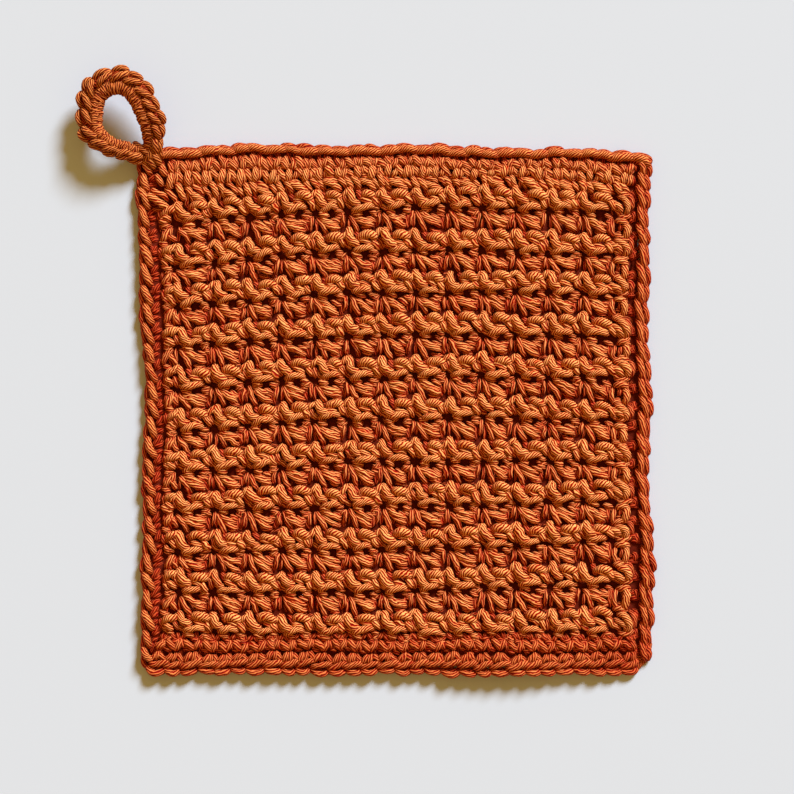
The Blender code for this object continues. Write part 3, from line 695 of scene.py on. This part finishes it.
@dataclass
class PliedYarnGroup:
    """The shader node group of plied cotton: helical plies and their fine fibres, with painted shade in the
    clefts between the plies and in the low places of the cloth, and painted highlight on the ply crowns."""

    name: str = "plied_yarn"
    fibre_across: float = 2.6
    fibre_along: float = 0.9
    fibre_detail: float = 3.0
    strain_scale: float = 0.35
    drift_scale: float = 420.0
    drift_detail: float = 1.0
    cloud_scale: float = 90.0
    cloud_detail: float = 2.0
    bend: float = 1.3
    ply_relief: float = 0.8
    fibre_relief: float = 0.3
    base_tone: float = -2.93
    ply_painted_shading: float = 2.6
    fibre_tone: float = 1.6
    strain_tone: float = 1.1
    cloud_tone: float = 0.6
    roughness: float = 0.66
    ply_polish: float = -0.12

    def __post_init__(self) -> None:
        """Ply = the absolute sine of pi times (u + v): round ridges with narrow clefts that turn left-handed
        round the strand. Fibres and the plies' own strain are noise stretched along the plies. Colour goes
        from the cleft colour through body to lit with the ply, the fibres and the strain: painted shade in
        the clefts and painted highlight on the crowns, broken up at random. Where the depth share falls it is
        multiplied by the tint of the low places, painted shade. A small drift bends the plies, and a wide
        cloud lightens and darkens the whole at random."""
        self.tree = bpy.data.node_groups.new(self.name, "ShaderNodeTree")
        for way, kind, names in (
            ("INPUT", "Vector", ("Place", "Spot")), ("INPUT", "Float", ("Depth",)),
            ("INPUT", "Color", ("Lit", "Body", "Cleft shade", "Deep shade")),
            ("OUTPUT", "Color", ("Colour",)), ("OUTPUT", "Float", ("Height", "Roughness")),
        ):
            for name in names:
                self.tree.interface.new_socket(name, in_out=way, socket_type=f"NodeSocket{kind}")
        wires = Wiring(self.tree)
        source = wires.node("NodeGroupInput")
        u, v, _ = wires.node("ShaderNodeSeparateXYZ", {0: source["Place"]})
        turn = wires.math("ADD", u, v)
        stretched = wires.node("ShaderNodeCombineXYZ", {
            0: wires.math("MULTIPLY", turn, self.fibre_across),
            1: wires.math("MULTIPLY", v, self.fibre_along),
        })[0]
        fibre = wires.noise(stretched, 1.0, self.fibre_detail)
        strain = wires.noise(stretched, self.strain_scale, 0.0)
        drift = wires.noise(source["Spot"], self.drift_scale, self.drift_detail)
        cloud = wires.noise(source["Spot"], self.cloud_scale, self.cloud_detail)
        phase = wires.math("MULTIPLY_ADD", drift, self.bend, turn)
        ply = wires.math("ABSOLUTE", wires.math("SINE", wires.math("MULTIPLY", phase, math.pi)))
        ridge = wires.math("MULTIPLY", ply, self.ply_relief)
        tone = self.base_tone
        for part, weight in ((cloud, self.cloud_tone), (strain, self.strain_tone),
                             (fibre, self.fibre_tone), (ply, self.ply_painted_shading)):
            tone = wires.math("MULTIPLY_ADD", part, weight, tone)
        # Painted shade and highlight: the tone takes each ply from the cleft colour, painted shade, through
        # the body colour to the lit colour, painted highlight on the crowns; fibre, strain and cloud vary it
        # at random.
        low = wires.mix(wires.math("MULTIPLY", tone, 2.0), source["Cleft shade"], source["Body"])
        high = wires.mix(wires.math("MULTIPLY_ADD", tone, 2.0, -1.0), low, source["Lit"])
        # Painted shade: the colour multiplied by the tint of the low places, taken in as the depth share
        # falls.
        sunk = wires.mix(1.0, high, source["Deep shade"], "MULTIPLY")
        wires.node("NodeGroupOutput", {
            "Colour": wires.mix(source["Depth"], sunk, high),
            "Height": wires.math("MULTIPLY_ADD", fibre, self.fibre_relief, ridge),
            "Roughness": wires.math("MULTIPLY_ADD", ply, self.ply_polish, self.roughness),
        })


@dataclass(frozen=True)
class ShadedYarnLook:
    """The look of one use of the yarn: its own colour with painted highlight and painted shade."""

    name: str
    # lit is painted highlight on the ply crowns, the cleft colour is painted shade between the plies, and the
    # tint of the low places is painted shade that the depth share brings in; body is the yarn's own colour.
    lit: Colour = (0.99, 0.430, 0.118, 1.0)
    body: Colour = (0.88, 0.086, 0.0045, 1.0)
    crevice: Colour = (0.29, 0.0050, 0.0006, 1.0)
    deep_shade: Colour = (0.62, 0.18, 0.16, 1.0)
    bump: float = 1.0
    bump_height: float = 0.42 * MM
    gloss: float = 0.06
    sheen: float = 0.03
    sheen_roughness: float = 0.45

    def material(self, group: PliedYarnGroup) -> Material:
        """Makes the material.

        Args:
            group: The plied yarn's node group.

        Returns:
            The material, which reads the yarn's UV map, its painted-shade depth and the object's coordinates.
        """
        material = bpy.data.materials.new(self.name)
        wires = Wiring.of_material(material)
        yarn = wires.node("ShaderNodeGroup", {
            "Place": wires.node("ShaderNodeUVMap", uv_map=UV_NAME)["UV"],
            "Depth": wires.node("ShaderNodeAttribute", attribute_name=PAINTED_SHADE_ATTRIBUTE)["Fac"],
            "Spot": wires.node("ShaderNodeTexCoord")["Object"],
            "Lit": self.lit, "Body": self.body, "Cleft shade": self.crevice, "Deep shade": self.deep_shade,
        }, node_tree=group.tree)
        bump = {"Height": yarn["Height"], "Strength": self.bump, "Distance": self.bump_height}
        wires.shade({
            "Base Color": yarn["Colour"], "Roughness": yarn["Roughness"],
            "Normal": wires.node("ShaderNodeBump", bump)["Normal"],
            "Specular IOR Level": self.gloss, "Sheen Weight": self.sheen,
            "Sheen Roughness": self.sheen_roughness, "Sheen Tint": self.lit,
        })
        return material


@dataclass
class Crocheter:
    """Places charted stitches on the cloth, each a little different from the next.

    The waves of the sway, across and then up, are each a size, turns across, turns up and a start angle.
    """

    cloth: Cloth
    rng: np.random.Generator
    stitch_wander: Point = (0.32, 0.32, 0.18)
    point_wander: Point = (0.20, 0.20, 0.16)
    # Painted shade by height in mm: least lit at the first, the cloth's middle, fully lit at the second and
    # at the resting face, never below the floor share.
    deep_shade: float = 2.4
    full: float = 7.1
    lit_share_floor: float = 0.15
    sway: float = 0.4 * MM
    sway_length: float = 31.0 * MM
    sway_waves: tuple[tuple[tuple[float, ...], ...], ...] = (
        ((1.0, 1.3, 0.6, 0.8), (0.7, -0.7, 1.9, 2.1)),
        ((1.0, 0.5, -1.4, 4.0), (0.7, 2.1, 0.4, 5.2)),
    )

    def depth(self, points: Array) -> Array:
        """A point's share of the lit colours, painted shade of the cloth's inside: eased from a floor at the
        middle of its thickness to 1 at its faces."""
        z = (points[..., 2] - self.cloth.lift(points[..., 0], points[..., 1])) / MM
        front = self.cloth.ease((z - self.deep_shade) / (self.full - self.deep_shade))
        back = self.cloth.ease((self.deep_shade - z) / self.deep_shade)
        return self.lit_share_floor + (1 - self.lit_share_floor) * np.maximum(front, back)

    def vary(self, lines: Array, share: float = 1.0) -> Array:
        """Moves each stitch, and each of its points, by a share of a small random step, and sways whole
        stitches together: two sines across each other carry neighbours the same way."""
        whole = self.rng.normal(size=(len(lines), 1, 3)) * np.array(self.stitch_wander) * share
        each = self.rng.normal(size=lines.shape) * np.array(self.point_wander) * share
        x, y = (lines[..., k] * 2 * math.pi / self.sway_length for k in (0, 1))
        sways = [
            sum(size * np.sin(across * x + up * y + start) for size, across, up, start in waves)
            for waves in self.sway_waves
        ]
        together = np.stack([*sways, np.zeros(x.shape)], axis=-1) * self.sway
        return lines + (whole + each) * MM + together

    def work(self, skein: Skein, chart: Chart, plan: Callable[[Array], Array], share: float = 1.0) -> None:
        """Winds every strand of a chart on the cloth.

        Args:
            skein: Where the yarn goes.
            chart: The stitch's strands.
            plan: Gives the lines of a strand's points on the plain rectangle, one for each stitch.
            share: The share of the random steps that the stitches take.
        """
        for strand in chart:
            lines = raised(plan(strand.line), strand.line[:, 2] * MM)
            skein.wind(self.cloth.settle(self.vary(lines, share)), strand, self.depth)

    def stars(self, skein: Skein, chart: Chart, rows: range, columns: range) -> None:
        """Winds strands of the star at each eye. Up the cloth they scale with the distance to the next row.
        The first column stands a little out from the lattice, and its stars stretch by as much.

        Args:
            skein: Where the yarn goes.
            chart: The strands, in mm from the eye.
            rows: The rows of the stars.
            columns: Their columns.
        """
        cloth = self.cloth
        row, column = (places.reshape(-1, 1) for places in np.meshgrid(rows, columns, indexing="ij"))

        def plan(line: Array) -> Array:
            """The lattice's own lines of a strand, one for each star."""
            steps = column + line[:, 0] * MM / cloth.column_pitch
            lead = cloth.first_column_lead * np.clip(1 - steps, 0.0, 1.0)
            x = cloth.first_column + steps * cloth.column_pitch - lead
            eye = cloth.row_line(row, x)
            above, below = cloth.row_line(row - 1, x) - eye, eye - cloth.row_line(row + 1, x)
            y = eye + line[:, 1] * MM * np.where(line[:, 1] > 0, above, below) / cloth.row_pitch
            return np.stack([x, y], axis=-1)

        self.work(skein, chart, plan)

    def plain(self, skein: Skein, chart: Chart, places: Array, low: float) -> None:
        """Winds the strands of a plain row above the stars.

        Args:
            skein: Where the yarn goes.
            chart: The strands: across in mm, up as a share of the way from the caps to the border.
            places: Where each stitch stands across the cloth.
            low: How far above the first eye line the rows start.
        """

        def plan(line: Array) -> Array:
            """A strand's lines between the caps and the border, one for each place."""
            x = places[:, None] + line[:, 0] * MM
            start = self.cloth.row_line(np.zeros(x.shape, int), x) + low
            return np.stack([x, start + (self.cloth.panel_top - start) * line[:, 1]], axis=-1)

        self.work(skein, chart, plan)


@dataclass
class StarPanel:
    """The panel: rows of star stitches, the stitches at the rows' ends, the plain rows above them and the
    back."""

    crocheter: Crocheter
    cap_top: float = 8.9 * MM
    stitches_across: int = 29
    plain_stitches: int = 28

    def block(self, name: str, rows: range, spokes: range, material: Material) -> Object:
        """Works a block of star rows.

        Args:
            name: The piece's name.
            rows: The rows whose caps it holds.
            spokes: The rows whose spokes it holds.
            material: The yarn's material, with its painted highlight and shade.

        Returns:
            The piece.
        """
        skein = Skein(name, self.crocheter.rng)
        columns = range(self.crocheter.cloth.columns)
        self.crocheter.stars(skein, STAR_SPOKES, spokes, columns)
        self.crocheter.stars(skein, STAR_CAP, rows, columns)
        self.crocheter.stars(skein, STAR_CAP_JOINS, rows, range(1, len(columns) + 1))
        return skein.piece(material)

    def ends(self, material: Material) -> Object:
        """Works the stitches at both ends of the star rows: those of the caps at every row, and those of the
        spokes at all rows but the last."""
        skein = Skein("row_ends", self.crocheter.rng)
        rows = len(self.crocheter.cloth.star_rows)
        for chart, column in ((LEFT_EDGE, 0), (RIGHT_EDGE, self.crocheter.cloth.columns)):
            for strand in chart:
                worked = range(rows if strand.line[:, 1].mean() > 0 else rows - 1)
                self.crocheter.stars(skein, (strand,), worked, range(column, column + 1))
        return skein.piece(material)

    def plain_rows(self, material: Material) -> Object:
        """Works the plain rows between the first caps and the border."""
        skein = Skein("plain_rows", self.crocheter.rng)
        cloth = self.crocheter.cloth
        stars = cloth.first_column + np.arange(cloth.columns + 1) * cloth.column_pitch
        pitch = 2 * (cloth.half_width - cloth.corner_radii[1]) / self.stitches_across
        stitches = (np.arange(self.plain_stitches) - (self.plain_stitches - 1) / 2) * pitch
        self.crocheter.plain(skein, PLAIN_FIRST_ROW, stars, self.cap_top)
        self.crocheter.plain(skein, PLAIN_UPPER_ROWS, stitches, self.cap_top)
        return skein.piece(material)

    def back(self, material: Material) -> Object:
        """Works the back: bars along the rows with posts between them."""
        skein = Skein.coarse("back_rows", self.crocheter.rng)
        cloth = self.crocheter.cloth
        self.crocheter.stars(skein, BACK_STAR, range(len(cloth.star_rows)), range(cloth.columns + 1))
        return skein.piece(material)


@dataclass
class Border:
    """The single crochet worked round the panel, and the plain row along its foot."""

    crocheter: Crocheter
    counts: tuple[int, ...] = (26, 29, 26, 29)
    corner_stitches: tuple[int, ...] = (2, 1, 1, 1)
    inner_radius: float = 0.4 * MM
    widths: tuple[float, ...] = (7.4, 4.3, 6.6, 8.6)
    back_width: float = 6.0
    arc_steps: int = 9
    evenness: float = 0.65

    def __post_init__(self) -> None:
        """Lays out the outer and the inner line of the ring at fine steps, counted in stitches from the foot
        of the right side: straight sides between the ends of the corners' arcs."""
        cloth = self.crocheter.cloth
        half = np.array([cloth.half_width, cloth.half_length])
        outer = self._rectangle(-half, half, cloth.corner_radii)
        inner = self._rectangle((cloth.panel_left, cloth.panel_bottom), (cloth.panel_right, cloth.panel_top),
                                (self.inner_radius,) * len(self.counts))
        stations, here = [], 0.0
        self.starts = []
        next_corners = np.roll(self.corner_stitches, -1)
        for corner, count, following in zip(self.corner_stitches, self.counts, next_corners):
            stations.append(here - corner + np.linspace(0, corner, self.arc_steps))
            self.starts.append(here)
            here += count + following
        self.total = here
        self.stations = np.concatenate(stations + [[self.total - self.corner_stitches[0]]])
        self.outer = np.vstack([outer, outer[:1]])
        self.inner = np.vstack([inner, inner[:1]])

    def _rectangle(self, low: Sequence[float], high: Sequence[float], radii: tuple[float, ...]) -> Array:
        """Points on the arcs of a rounded rectangle's corners, anticlockwise from the bottom right one."""
        (left, bottom), (right, top) = low, high
        arcs = []
        for k, (x, y) in enumerate(((right, bottom), (right, top), (left, top), (left, bottom))):
            angle = (k - 1) * math.pi / 2 + np.linspace(0, math.pi / 2, self.arc_steps)
            centre = np.array([x - math.copysign(radii[k], x), y - math.copysign(radii[k], y)])
            arcs.append(centre + radii[k] * np.stack([np.cos(angle), np.sin(angle)], axis=1))
        return np.concatenate(arcs)

    def place(self, station: Array, share: Array) -> Array:
        """Places in the border: the inner line plus a share of the way to the outer line at the same
        station."""
        base = -self.corner_stitches[0]
        at = np.mod(station - base, self.total) + base
        outer, inner = (
            np.stack([np.interp(at, self.stations, line[:, k]) for k in (0, 1)], axis=-1)
            for line in (self.outer, self.inner)
        )
        return inner + (outer - inner) * share[..., None]

    def wind(self, skein: Skein, chart: Chart, stations: Array, width: float) -> None:
        """Winds the border's stitch at each station.

        Args:
            skein: Where the yarn goes.
            chart: The stitch's strands: along in stitches, outwards in mm.
            stations: Where the stitches stand round the ring, in stitches.
            width: The ring's width in the chart's mm.
        """

        def plan(line: Array) -> Array:
            """A strand's lines round the ring, one for each station."""
            return self.place(stations[:, None] + line[:, 0], line[:, 1] / width)

        self.crocheter.work(skein, chart, plan, self.evenness)

    def piece(self, material: Material) -> Object:
        """Works the whole ring."""
        skein = Skein("border_stitches", self.crocheter.rng)
        for side, chart in SIDE_STITCHES.items():
            stations = self.starts[side.value] + np.arange(self.counts[side.value] + 1)
            self.wind(skein, chart, stations, self.widths[side.value])
        return skein.piece(material)

    def back(self, material: Material) -> Object:
        """Works the ring's back."""
        skein = Skein.coarse("border_back", self.crocheter.rng)
        self.wind(skein, BACK_STITCH, np.arange(self.total), self.back_width)
        return skein.piece(material)


@dataclass
class HangingLoop:
    """The hanging loop: wraps round its ring, and the chain of its stitches' tops along the outside.

    Each section of the ring gives, in mm, the band's middle across and up the cloth, its width and its
    height.
    """

    crocheter: Crocheter
    stitches: int = 17
    wraps_per_stitch: int = 3
    loop_lit_share: float = 0.75
    evenness: float = 0.4
    thickness: float = 4.6 * MM
    growth: float = 0.045
    look_round: float = 0.004
    sections: tuple[tuple[float, ...], ...] = (
        (-98.4, 99.8, 5.6, 4.7), (-105.3, 101.6, 6.0, 8.4), (-112.5, 103.4, 8.0, 10.2),
        (-117.4, 107.7, 10.0, 10.0), (-119.2, 115.0, 11.0, 9.6), (-117.8, 122.2, 11.6, 10.4),
        (-112.9, 127.2, 12.0, 11.9), (-106.2, 127.3, 12.0, 13.2), (-100.6, 123.6, 11.4, 13.4),
        (-97.0, 117.4, 10.8, 12.4), (-95.5, 110.4, 9.8, 10.4), (-95.3, 104.0, 7.0, 7.4),
    )

    def ring(self, places: Array) -> Array:
        """The band's middle, width and height at places round it, from 0 to 1: a closed smooth line through
        the sections."""
        values = np.array(self.sections) * MM
        count = len(values)
        steps = np.mod(places, 1.0) * count
        first = steps.astype(int) % count
        t = (steps - np.floor(steps))[..., None]
        return catmull_rom(*(values[(first + k) % count] for k in (-1, 0, 1, 2)), t)

    def lines(self, strand: Strand, stations: Array) -> Array:
        """A strand's lines at stations round the ring, in stitches: the ring's middle, plus outward times a
        share of its width, plus up times a share of its thickness, which grows with the distance from its
        root."""
        line = strand.line
        place = (stations[:, None] + line[:, 0]) / self.stitches
        here = self.ring(place)
        ahead = unit((self.ring(place + self.look_round) - self.ring(place - self.look_round))[..., :2])
        outward = np.stack([-ahead[..., 1], ahead[..., 0]], axis=-1)
        plan = here[..., :2] + outward * (here[..., 2] * line[:, 1])[..., None]
        root = np.array(self.sections[0][:2]) * MM
        thickness = self.thickness + self.growth * np.linalg.norm(here[..., :2] - root, axis=-1)
        return raised(plan, here[..., 3] + thickness * line[:, 2])

    def depth(self, points: Array) -> Array:
        """The loop's share of the lit colours, the same everywhere: painted shade over the whole loop."""
        return np.full(points.shape[:-1], self.loop_lit_share)

    def piece(self, material: Material) -> Object:
        """Works the loop: its wraps, its chain and the strands that sew it down."""
        skein = Skein("loop_stitches", self.crocheter.rng)
        wraps = np.arange(1, self.stitches * self.wraps_per_stitch - 1) / self.wraps_per_stitch
        tops = np.arange(self.stitches) + 0.5
        for chart, stations in ((LOOP_WRAPS, wraps), (LOOP_CHAIN, tops)):
            for strand in chart:
                lines = self.crocheter.vary(self.lines(strand, stations), self.evenness)
                skein.wind(lines, strand, self.depth)
        for strand in LOOP_ROOT:
            skein.wind(strand.line[None] * MM, strand, self.depth)
        return skein.piece(material)


@dataclass
class Ground:
    """The cloth's middle, which shows dark and knotted between the strands: a thin closed sheet that
    stands for the yarn inside the cloth, its dark colour painted shade.
    """

    cloth: Cloth
    left_reach: float = 5.0 * MM
    right_reach: float = 3.4 * MM
    bottom_reach: float = 4.6 * MM
    top_reach: float = 2.4 * MM
    slack_place: float = 62.0 * MM
    slack_half_length: float = 26.0 * MM
    slack: float = 1.6 * MM
    low: float = 1.5 * MM
    high: float = 2.2 * MM
    knot: float = 0.25 * MM
    knots_per_star: int = 2
    steps: int = 150

    def piece(self, material: Material) -> Object:
        """Makes the sheet: a grid whose upper face rises and falls as the product of two sines a stitch
        apart, a level lower face, and walls between them. Along the slack of the right side it ends short,
        and the floor shows between the posts."""
        cloth = self.cloth
        x = np.linspace(cloth.panel_left - self.left_reach, cloth.panel_right + self.right_reach, self.steps)
        y = np.linspace(cloth.panel_bottom - self.bottom_reach, cloth.panel_top + self.top_reach, self.steps)
        x, y = np.meshgrid(x, y)
        short = self.slack * cloth.ease(1 - np.abs(y - self.slack_place) / self.slack_half_length)
        x = x - short * (x > cloth.panel_right)
        turns = 2 * self.knots_per_star
        across = np.sin(x / cloth.column_pitch * turns * math.pi)
        up = np.sin(y / cloth.row_pitch * turns * math.pi)
        upper, lower = (
            cloth.settle(raised(np.stack([x, y], axis=-1), z)).reshape(-1, 3)
            for z in (self.high + self.knot * (across * up), self.low)
        )
        n = self.steps
        top = grid_faces(n)
        along = np.arange(n - 1)
        edge = np.concatenate([along, along * n + n - 1, n * n - 1 - along, (n - 1 - along) * n])
        after = np.roll(edge, -1)
        wall = np.stack([edge, edge + n * n, after + n * n, after], axis=1)[:, ::-1]
        faces = np.concatenate([top, top[:, ::-1] + n * n, wall])
        mesh = bpy.data.meshes.new("cloth_ground")
        mesh.from_pydata(np.concatenate([upper, lower]), [], faces)
        mesh.shade_smooth()
        mesh.materials.append(material)
        return stand("cloth_ground", mesh)


@dataclass(frozen=True)
class ShadedGroundLook:
    """The yarn of the cloth's middle: dark rust with the grain of packed strands, far darker than the
    yarn's own colour as painted shade.
    """

    name: str = "shaded_ground_yarn"
    # Painted shade: both colours are far darker than the yarn's body colour.
    dark: Colour = (0.065, 0.0060, 0.0012, 1.0)
    warm: Colour = (0.19, 0.0140, 0.0024, 1.0)
    grain_scale: float = 700.0
    grain_detail: float = 3.0
    bump_height: float = 0.4 * MM
    roughness: float = 0.9
    gloss: float = 0.1

    def material(self) -> Material:
        """Makes the material: noise on the object's coordinates gives the grain's colour and relief."""
        material = bpy.data.materials.new(self.name)
        wires = Wiring.of_material(material)
        grain = wires.noise(wires.node("ShaderNodeTexCoord")["Object"], self.grain_scale, self.grain_detail)
        bump = {"Height": grain, "Distance": self.bump_height}
        wires.shade({
            "Base Color": wires.mix(grain, self.dark, self.warm),
            "Normal": wires.node("ShaderNodeBump", bump)["Normal"],
            "Roughness": self.roughness, "Specular IOR Level": self.gloss,
        })
        return material


@dataclass
class Studio:
    """The pale floor, the soft light from the upper right and the camera straight above."""

    camera_height: float = 1.2
    view_width: float = 0.3097
    view_centre: tuple[float, float] = (0.0, 5.85 * MM)
    cloth_height: float = 4.0 * MM
    sensor: float = 36.0
    light_direction: Point = (0.78, 1.25, 1.0)
    light_angle: float = math.radians(18)
    light_strength: float = 6.25
    light_colour: tuple[float, float, float] = (0.715, 0.815, 1.0)
    sky_colour: Colour = (1.0, 0.64, 0.20, 1.0)
    sky_strength: float = 0.46
    floor_size: float = 8.0
    floor_steps: int = 9
    floor_level: float = -0.05 * MM
    floor_colour: Colour = (0.62, 0.655, 0.665, 1.0)
    floor_roughness: float = 0.45

    def floor(self) -> Object:
        """Makes the floor: a level sheet of one pale colour, a hair below the resting face."""
        grid = np.linspace(-self.floor_size / 2, self.floor_size / 2, self.floor_steps)
        points = raised(np.stack(np.meshgrid(grid, grid), axis=-1), self.floor_level).reshape(-1, 3)
        mesh = bpy.data.meshes.new("floor")
        mesh.from_pydata(points, [], grid_faces(self.floor_steps))
        material = bpy.data.materials.new("pale_floor")
        look = {"Base Color": self.floor_colour, "Roughness": self.floor_roughness}
        Wiring.of_material(material).shade(look)
        mesh.materials.append(material)
        return stand("floor", mesh)

    def light(self) -> None:
        """Sets a soft sun from the upper right and a warm, even sky."""
        lamp = bpy.data.lights.new("key", "SUN")
        lamp.energy = self.light_strength
        lamp.angle = self.light_angle
        lamp.color = self.light_colour
        x, y, z = self.light_direction
        stand("key", lamp).rotation_euler = (0.0, math.atan2(math.hypot(x, y), z), math.atan2(y, x))
        world = bpy.data.worlds.new("soft_sky")
        world.use_nodes = True
        sky = world.node_tree.nodes["Background"]
        sky.inputs["Color"].default_value = self.sky_colour
        sky.inputs["Strength"].default_value = self.sky_strength
        bpy.context.scene.world = world
        bpy.context.scene.view_settings.view_transform = "Standard"

    def camera(self) -> None:
        """Sets the camera above the cloth. Its lens takes in the view's width at the height of the
        stitches."""
        lens = bpy.data.cameras.new("camera")
        lens.sensor_width = self.sensor
        lens.lens = self.sensor * (self.camera_height - self.cloth_height) / self.view_width
        camera = stand("camera", lens)
        camera.location = (*self.view_centre, self.camera_height)
        bpy.context.scene.camera = camera


def dress(piece: Object, slot: Slot, *nodes: str) -> None:
    """Lets a piece ride on the root body and hides the nodes that it stands for.

    Args:
        piece: The new piece.
        slot: The record's slot for the piece; it is not used.
        nodes: The solids it replaces.
    """
    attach(piece, "root")
    if nodes:
        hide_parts(*nodes)
    log.info("%s stands in place", piece.name)


def main() -> None:
    """Builds the studio, then the pot holder's pieces in order."""
    logging.basicConfig(level=logging.INFO, format="%(name)s: %(message)s")
    studio = Studio()
    floor = studio.floor()
    studio.light()
    studio.camera()
    cloth = Cloth()
    crocheter = Crocheter(cloth, np.random.default_rng(SEED))
    group = PliedYarnGroup()
    panel_yarn = ShadedYarnLook("panel_yarn").material(group)
    # The border's yarn: the panel's cotton with darker lit and body colours, painted shade.
    border_yarn = ShadedYarnLook(
        "border_yarn", lit=(0.93, 0.35, 0.085, 1.0), body=(0.74, 0.068, 0.0045, 1.0),
    ).material(group)
    # The loop's yarn: the panel's cotton with darker lit, body and cleft colours, painted shade.
    loop_yarn = ShadedYarnLook(
        "loop_yarn", lit=(0.80, 0.29, 0.062, 1.0), body=(0.58, 0.058, 0.0035, 1.0),
        crevice=(0.14, 0.0030, 0.0005, 1.0),
    ).material(group)
    panel = StarPanel(crocheter)
    upper = panel.block("stars_upper", rows=range(0, 6), spokes=range(0, 4), material=panel_yarn)
    lower = panel.block("stars_lower", rows=range(6, 11), spokes=range(4, 10), material=panel_yarn)
    ends = panel.ends(panel_yarn)
    plain = panel.plain_rows(panel_yarn)
    back = panel.back(panel_yarn)
    ring = Border(crocheter)
    border = ring.piece(border_yarn)
    border_back = ring.back(border_yarn)
    loop = HangingLoop(crocheter).piece(loop_yarn)
    ground = Ground(cloth).piece(ShadedGroundLook().material())
    dress(ground, Slot.PANEL, "panel")
    for piece in (upper, lower, ends, plain, back):
        dress(piece, Slot.PANEL)
    dress(border, Slot.BORDER, "border")
    dress(border_back, Slot.BORDER)
    dress(loop, Slot.LOOP, "hanging_loop")


if __name__ == "__main__":
    main()
